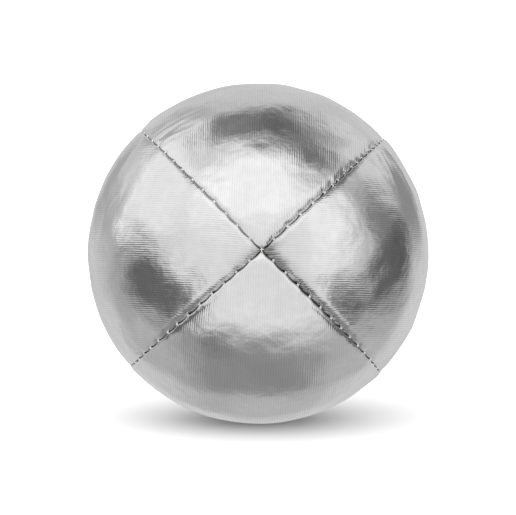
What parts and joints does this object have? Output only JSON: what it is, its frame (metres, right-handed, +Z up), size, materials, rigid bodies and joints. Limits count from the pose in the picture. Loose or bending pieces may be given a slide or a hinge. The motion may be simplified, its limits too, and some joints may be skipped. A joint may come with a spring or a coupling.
{
  "type": "juggling ball",
  "caption": "Round juggling beanbag of lens-shaped silver fabric panels, seamed from pole to pole, lined and filled with millet.",
  "frame": {"origin": "centre of the flat that the ball rests on", "axes": "+Z up. The ball lies as it was put down, so its seam axis is not a row axis: the front pole, where four seams meet, points along -Y, 9 degrees above the horizontal and 1.2 degrees towards +X."},
  "size_m": [0.067, 0.067, 0.0664],
  "materials": {
    "silver_cover": "satin",
    "lining_cloth": "matte",
    "millet": "matte",
    "machine_thread": "satin",
    "hand_thread": "satin"
  },
  "bodies": {
    "root": {"cover_panel_top": "silver_cover", "cover_panel_right": "silver_cover", "cover_panel_bottom": "silver_cover", "cover_panel_left": "silver_cover", "lining_panel_top": "lining_cloth", "lining_panel_right": "lining_cloth", "lining_panel_bottom": "lining_cloth", "lining_panel_left": "lining_cloth", "millet_fill": "millet", "needle_thread_upper_right": "machine_thread", "needle_thread_upper_left": "machine_thread", "needle_thread_lower_left": "machine_thread", "needle_thread_lower_right": "machine_thread", "bobbin_thread_upper_right": "machine_thread", "bobbin_thread_upper_left": "machine_thread", "bobbin_thread_lower_left": "machine_thread", "bobbin_thread_lower_right": "machine_thread", "closing_thread": "hand_thread", "front_pole_tack": "hand_thread", "rear_pole_tack": "hand_thread"}
  },
  "joints": []
}
